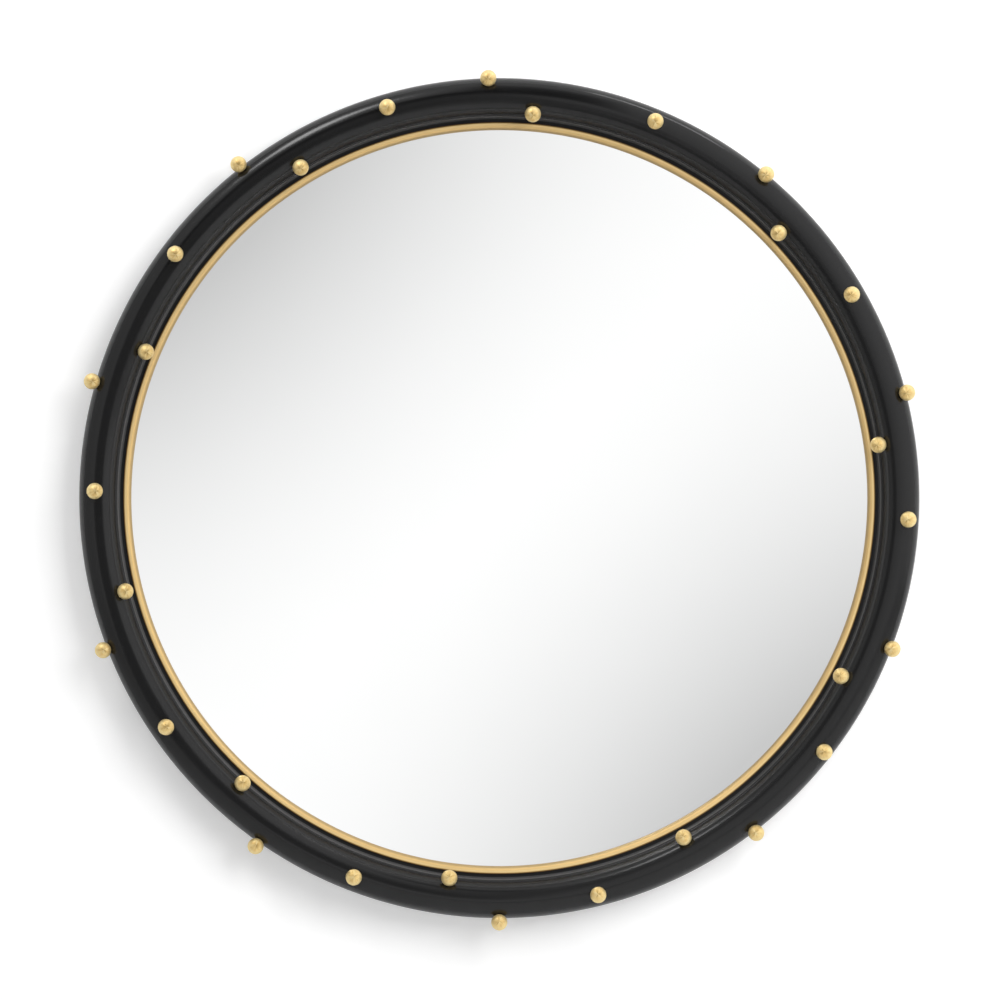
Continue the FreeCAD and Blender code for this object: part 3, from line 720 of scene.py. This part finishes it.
def turned_solid(name, points, steps):
    """A closed solid turned about Z from points of radius and height, pole to pole."""
    shell = bmesh.new()
    angles = [math.tau * n / steps for n in range(steps)]
    rows = []
    for radius, height in points:
        around = angles if radius else [0.0]
        rows.append([shell.verts.new((radius * math.cos(a), radius * math.sin(a), height)) for a in around])
    for lower, higher in zip(rows, rows[1:]):
        for n in range(steps):
            corners = [lower[n % len(lower)], lower[(n + 1) % len(lower)]]
            corners += [higher[(n + 1) % len(higher)], higher[n % len(higher)]]
            shell.faces.new(list(dict.fromkeys(corners)))
    bmesh.ops.recalc_face_normals(shell, faces=shell.faces)
    return solid_from(name, shell)


SCREW_STEPS = 32
print("screws are turned in", SCREW_STEPS, "steps")

# %% Cutting the cross
TAPER, OVERRUN = 0.62, 0.0002    # the recess's bottom to its top, and how far the cutter stands out


def cross_cutter(name, reach, width, top, depth):
    """Two crossed wedges, wide at the top and narrow at the bottom of the recess."""
    shell = bmesh.new()
    for long, wide in ((reach, width), (width, reach)):
        for vert in bmesh.ops.create_cube(shell, size=2.0)["verts"]:
            upper = vert.co.z > 0.0
            taper = 1.0 if upper else TAPER
            level = top + OVERRUN if upper else top - depth
            vert.co = (vert.co.x * long * taper, vert.co.y * wide * taper, level)
    return solid_from(name, shell)


def pan_screw(name, shank, length, head, height):
    """A pan-head wood screw with its head's underside at the origin."""
    dome = [(head * (0.62 + 0.38 * math.cos(t)), height * (0.45 + 0.55 * math.sin(t)))
            for t in (math.radians(15.0 * n) for n in range(7))]
    tip = [(0.0, -length), (shank, -length * 0.7), (shank, 0.0)]
    brim = [(head * 0.96, 0.0), (head, height * 0.08)]
    screw = turned_solid(name, tip + brim + dome + [(head * 0.3, height), (0.0, height)], SCREW_STEPS)
    cutter = cross_cutter(name + "_cross", head * 0.62, head * 0.115, height, height * 0.62)
    cut = screw.modifiers.new("cross", "BOOLEAN")
    cut.operation = "DIFFERENCE"
    cut.solver = "EXACT"
    cut.use_self = True
    cut.object = cutter
    mesh = modified_mesh(screw)
    screw.modifiers.clear()
    screw.data = mesh
    bpy.data.objects.remove(cutter)
    print(f"{name}: {len(mesh.polygons)} faces with its cross")
    return screw


print(f"a cross narrows to {TAPER:.0%} of its size at the bottom")

# %% The screw recipe
screws = Recipe("set screws", {"Screw": "Object", "Seed": "Int", "Finish": "Material"})
one_screw = screws.node("GeometryNodeObjectInfo", {"transform_space": "ORIGINAL"},
                        {"Object": screws.given("Screw")}, out="Geometry")
backwards = screws.node("FunctionNodeAlignRotationToVector", {"axis": "Z"}, {"Vector": (0.0, 1.0, 0.0)})
twist = screws.node("FunctionNodeAxisAngleToRotation", None,
                    {"Axis": (0.0, 0.0, 1.0), "Angle": screws.chance(math.tau)})
driven = screws.node("FunctionNodeRotateRotation", {"rotation_space": "LOCAL"},
                     {"Rotation": backwards, "Rotate By": twist})
set_screws = screws.node("GeometryNodeInstanceOnPoints", None,
                         {"Points": screws.given("Geometry"), "Instance": one_screw, "Rotation": driven})
screws.close(set_screws)

# %% Setting both kinds of screw
BUTTON_SCREW = {"shank": 0.00175, "length": 0.016, "head": 0.00375, "height": 0.0024}
STRAP_SCREW = {"shank": 0.002, "length": 0.020, "head": 0.004, "height": 0.0026}
HOLE_DROPS = (0.009, 0.026)    # a strap's two holes below its D-ring's bar
joints = {joint["name"]: joint["pos_m"] for joint in frame["record"]["behaviour"]["joints"]}
pivots = [joints[f"turn_button_{n}_turn"] for n in range(1, 9)]
bars = [joints[f"d_ring_{hand}_swing"] for hand in ("left", "right")]
button_holes = [(pivot[0], pivot[2]) for pivot in pivots]
strap_holes = [(bar[0], bar[2] - drop) for bar in bars for drop in HOLE_DROPS]
sets = {
    "button_pan_screws": ("turn_button_screws", button_holes, BUTTON_SCREW, 3),
    "strap_pan_screws": ("hanger_screws", strap_holes, STRAP_SCREW, 11),
}
for name, (node, holes, sizes, seed) in sets.items():
    under_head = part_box(node)[1][1] - sizes["height"]
    host = bpy.data.meshes.new(name + " places")
    host.from_pydata([(x, under_head, z) for x, z in holes], [], [])
    one = pan_screw(name + "_one", **sizes)
    piece = screws.make(name, host, {"Screw": one, "Seed": seed, "Finish": zinc_plate})
    bpy.data.objects.remove(one)
    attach(piece, "frame")
    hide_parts(node)

# %% [markdown]
# ## Stamped and bent hardware
#
# Turn buttons, straps, D-rings and pads already have the right shape in the solids, and modelling them
# again would only add mistakes. A stamped edge is never knife sharp, though, so we copy each mesh, merge
# its loose triangles, and bevel the arrises. The copies of the moving pieces ride on their own bodies.

# %% Easing the arrises of a copied solid
SAME_POINT = 1e-6
FLAT, BEVELLED, HARD = math.radians(0.4), math.radians(35.0), math.radians(50.0)


def merged_copy(node, material):
    """A copy of a solid's mesh with its triangles joined and one material."""
    mesh = frame["nodes"][node].data.copy()
    for layer in ("custom_normal", "sharp_edge", "sharp_face"):
        if layer in mesh.attributes:
            mesh.attributes.remove(mesh.attributes[layer])
    shell = bmesh.new()
    shell.from_mesh(mesh)
    bmesh.ops.remove_doubles(shell, verts=shell.verts, dist=SAME_POINT)
    bmesh.ops.dissolve_limit(shell, angle_limit=FLAT, verts=shell.verts, edges=shell.edges)
    shell.to_mesh(mesh)
    shell.free()
    mesh.materials.clear()
    mesh.materials.append(material)
    for face in mesh.polygons:
        face.use_smooth = True
        face.material_index = 0
    return mesh


def eased_copy(node, name, width, material):
    source = placed(name + "_source", merged_copy(node, material))
    if width:
        bevel = source.modifiers.new("arris", "BEVEL")
        bevel.width = width
        bevel.segments = 2
        bevel.limit_method = "ANGLE"
        bevel.angle_limit = BEVELLED
    piece = plain_piece(name, source)
    piece.data.set_sharp_from_angle(angle=HARD)
    return piece


print(f"edges over {math.degrees(BEVELLED):.0f} degrees get a bevel")

# %% Buttons, straps, D-rings and pads
BUTTON_EDGE, STRAP_EDGE, AS_IT_IS = 0.0003, 0.00025, 0.0
hardware = []
for n in range(1, 9):
    button = f"turn_button_{n}"
    hardware.append((button, f"stamped_button_{n}", BUTTON_EDGE, zinc_plate, button))
for hand in ("left", "right"):
    hardware.append((f"hanger_strap_{hand}", f"folded_strap_{hand}", STRAP_EDGE, zinc_plate, "frame"))
    hardware.append((f"d_ring_{hand}", f"wire_ring_{hand}", AS_IT_IS, zinc_plate, f"d_ring_{hand}"))
for n in range(1, 5):
    hardware.append((f"wall_pad_{n}", f"moulded_pad_{n}", AS_IT_IS, rubber, "frame"))
for node, name, width, material, body in hardware:
    piece = eased_copy(node, name, width, material)
    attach(piece, body)
    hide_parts(node)

# %% [markdown]
# ## Nodes that keep their solids
#
# The glass, the board and the hidden pins are right as they are. A copy would add nothing, so they only
# take a finish.

# %% Finishes on the kept solids
kept_finishes = {"mirror_glass": mirror, "backing_board": fibreboard, "stud_pins": zinc_plate}
for node, material in kept_finishes.items():
    for holder in frame["nodes"][node].material_slots:
        holder.material = material
print("kept solids finished:", ", ".join(kept_finishes))

# %% [markdown]
# ## The wall
#
# The mirror hangs on a white wall. A plain sheet would hide the back, so this panel can only be seen from
# its front, and the back of the mirror stays open to look at from behind. Light that comes from less than
# two centimetres away passes too, which lets the back be lit through the panel. To the camera the wall
# glows a little, which makes it white without more light on the mirror.

# %% The wall panel
LIFT, CLOSE_BY = 0.23, 0.02
WALL, WALL_Y, FLOOR = 2.2, 0.0005, -1.5


def panel(name, corners, material):
    mesh = bpy.data.meshes.new(name)
    mesh.from_pydata(corners, [], [tuple(range(len(corners)))])
    mesh.materials.append(material)
    sheet = placed(name, mesh)
    print(f"{name}: {len(corners)} corners")
    return sheet


wall_paint = Paint("pale_wall")
chalk = wall_paint.blend(wall_paint.noise(wall_paint.here, 40.0, 3.0), grey(0.885), grey(0.895))
plaster = wall_paint.node("ShaderNodeBsdfDiffuse", None, {"Color": chalk})
lifted = wall_paint.node("ShaderNodeAddShader", None, {0: plaster, 1: wall_paint.glow(WHITE, LIFT)})
seen = wall_paint.mixed(wall_paint.ray("Camera"), plaster, lifted)
ray_length = wall_paint.node("ShaderNodeLightPath", None, None, out="Ray Length")
from_behind = wall_paint.node("ShaderNodeNewGeometry", None, None, out="Backfacing")
through = from_behind.at_least(ray_length < CLOSE_BY)
wall_paint.show(wall_paint.mixed(through, seen, wall_paint.node("ShaderNodeBsdfTransparent")))
wall_corners = [(-WALL, FLOOR), (WALL, FLOOR), (WALL, WALL), (-WALL, WALL)]
panel("wall_panel", [(x, WALL_Y, z) for x, z in wall_corners], wall_paint.material)

# %% [markdown]
# ## The floor
#
# A floor that simply ends draws a hard line in the glass. A photographer rolls paper out behind the
# camera instead, so that the floor runs into white. Here the floor fades to white by its distance from
# the mirror, but only for the camera and for the polished glass, so that the fading lights nothing.

# %% The floor
FADE_FROM, FADE_TO = 1.8, 5.5
floor_paint = Paint("pale_floor")
pale = floor_paint.blend(floor_paint.noise(floor_paint.here, 25.0, 4.0), grey(0.68), grey(0.72))
boards = floor_paint.node("ShaderNodeBsdfPrincipled", None, {"Base Color": pale, "Roughness": 0.7})
floor_x, floor_y, _ = floor_paint.parts(floor_paint.here)
far = floor_paint.ramp((floor_x * floor_x + floor_y * floor_y) ** 0.5, FADE_FROM, FADE_TO)
fading = far * floor_paint.ray("Camera").at_least(floor_paint.ray("Singular"))
floor_paint.show(floor_paint.mixed(fading, boards, floor_paint.glow(WHITE)))
floor_corners = [(-7.0, -8.0), (7.0, -8.0), (7.0, 6.0), (-7.0, 6.0)]
panel("floor", [(x, y, FLOOR) for x, y in floor_corners], floor_paint.material)

# %% [markdown]
# ## The studio around it
#
# Black lacquer shows hardly any colour of its own: what we see is the room. We could build a room, but a
# world that answers each kind of ray is easier to steer. The camera sees white, matt surfaces get one even
# light, and satin ones a room that is brighter on the right. The glass looks straight back at a white card
# beside the camera, which greys towards two of its corners.

# %% The world
CARD_HALF = 0.0947    # from the card's middle to its edge, as the glass sees it
CARD_WHITE, CARD_GREY = 1.03, 0.6
SOFT_LIGHT = 0.46


def chosen(mask, inside, outside):
    """One value where the mask is 1 and another where it is 0."""
    return mask * inside + (1.0 - mask) * outside


world = bpy.data.worlds.new("studio")
world.use_nodes = True
scene.world = world
sky = Finish(world.node_tree)
way_x, _, way_z = sky.parts(sky.node("ShaderNodeTexCoord", None, None, out="Generated"))
card_u = (way_x - way_z) * math.sqrt(0.5) / CARD_HALF
card_v = (way_x + way_z) * math.sqrt(0.5) / CARD_HALF
greying = abs(card_u) ** 1.7 * (1.0 - card_v * card_v * 0.42)
card = (CARD_WHITE - greying * 0.43).at_most(CARD_WHITE).at_least(CARD_GREY)
room = 0.54 + sky.ramp(way_x * 0.9 + way_z * 0.35, -0.9, 0.8) * 0.40
mirrored = chosen(sky.ray("Singular"), card, room)
strength = chosen(sky.ray("Camera"), 1.0, chosen(sky.ray("Glossy"), mirrored, SOFT_LIGHT))
background = sky.node("ShaderNodeBackground", None, {"Color": WHITE, "Strength": strength})
sky.node("ShaderNodeOutputWorld", None, {"Surface": background})
print("world:", len(sky.tree.nodes), "nodes")

# %% [markdown]
# ## Lamps
#
# A large soft key at the upper right lights the front, and nothing mirrors it. A smaller lamp at the upper
# left adds glints, and a narrow strip above draws a thin line on the outer flank. One fill stands behind
# the wall for the back. Suns would give hard shadows, so all four are area lamps.

# %% Four soft lamps
def soft_lamp(name, place, size, watts):
    lamp = bpy.data.lights.new(name, "AREA")
    lamp.size = size
    lamp.energy = watts
    holder = placed(name, lamp)
    holder.location = place
    holder.rotation_euler = (-Vector(place)).to_track_quat("-Z", "Y").to_euler()
    print(f"{name}: {size} m, {watts} W")
    return holder


key = soft_lamp("key", (2.72, -3.1, 2.08), 3.0, 165.0)
key.visible_glossy = False
soft_lamp("kicker", (-1.20, -1.50, 2.35), 0.8, 18.0)
strip = soft_lamp("strip", (0.98, -0.07, 2.40), 0.10, 2.4)
strip.data.shape = "RECTANGLE"
strip.data.size_y = 0.9
soft_lamp("back_fill", (-1.6, 2.6, 1.6), 1.4, 50.0)

# %% [markdown]
# ## The flag
#
# A dark flag hangs before the mirror, left of the lens, as a photographer would hang black cloth. It
# lights nothing and no camera sees it, and the polished glass is spared it too, but satin surfaces mirror
# it: it draws the dark stripe along the round. Its upper hem is nearly black, and a tall top above the hem
# turns paler again. A dark patch painted on the ring would be simpler, but it would not move with the view.

# %% The flag's cloth
flag_cloth = Paint("flag_cloth")
flag_x, _, flag_z = flag_cloth.parts(flag_cloth.here)
from_axis = (flag_x * flag_x + flag_z * flag_z) ** 0.5
hem = flag_cloth.ramp(from_axis, 0.57, 0.62) * flag_cloth.ramp(flag_z, 0.22, 0.38)
shade = flag_cloth.blend(flag_cloth.ramp(flag_z, 0.20, 0.45), grey(0.20), grey(0.29))
shade = flag_cloth.blend(hem, shade, grey(0.01))
shade = flag_cloth.blend(flag_cloth.ramp(from_axis, 0.70, 1.70), shade, grey(0.42))
spare_glass = flag_cloth.mixed(flag_cloth.ray("Singular"), flag_cloth.glow(shade),
                               flag_cloth.node("ShaderNodeBsdfTransparent"))
flag_cloth.show(spare_glass)
print("finish:", flag_cloth.material.name)

# %% The flag
FLAG_Y = -0.62
flag_outline = [(-0.62, -0.38), (0.02, -0.38), (0.04, 0.52), (0.17, 0.53), (0.22, 0.75), (0.47, 1.55),
                (-0.14, 1.60), (-0.08, 0.82), (-0.40, 0.74), (-0.62, 0.52)]
flag = panel("flag", [(x, FLAG_Y, z) for x, z in flag_outline], flag_cloth.material)
flag.visible_camera = False
flag.visible_diffuse = False
flag.visible_shadow = False
flag.visible_transmission = False

# %% [markdown]
# ## The camera
#
# The photograph looks at the mirror square on. A lens of 136 mm from four and a half metres gives the
# frame its size in the picture, and a shift of a thousandth or two puts its middle where the photograph
# has it. Turning the camera would do that too, but it would no longer look square on.

# %% Camera
camera = bpy.data.cameras.new("camera")
camera.lens = 136.45
camera.sensor_width = 36.0
camera.shift_x = 0.0007
camera.shift_y = -0.0019
viewer = placed("camera", camera)
viewer.location = (0.0, -4.5, 0.0)
viewer.rotation_euler = (math.pi / 2, 0.0, 0.0)
scene.camera = viewer
print(f"camera: {camera.lens:.1f} mm, {-viewer.location.y:.1f} m from the wall")
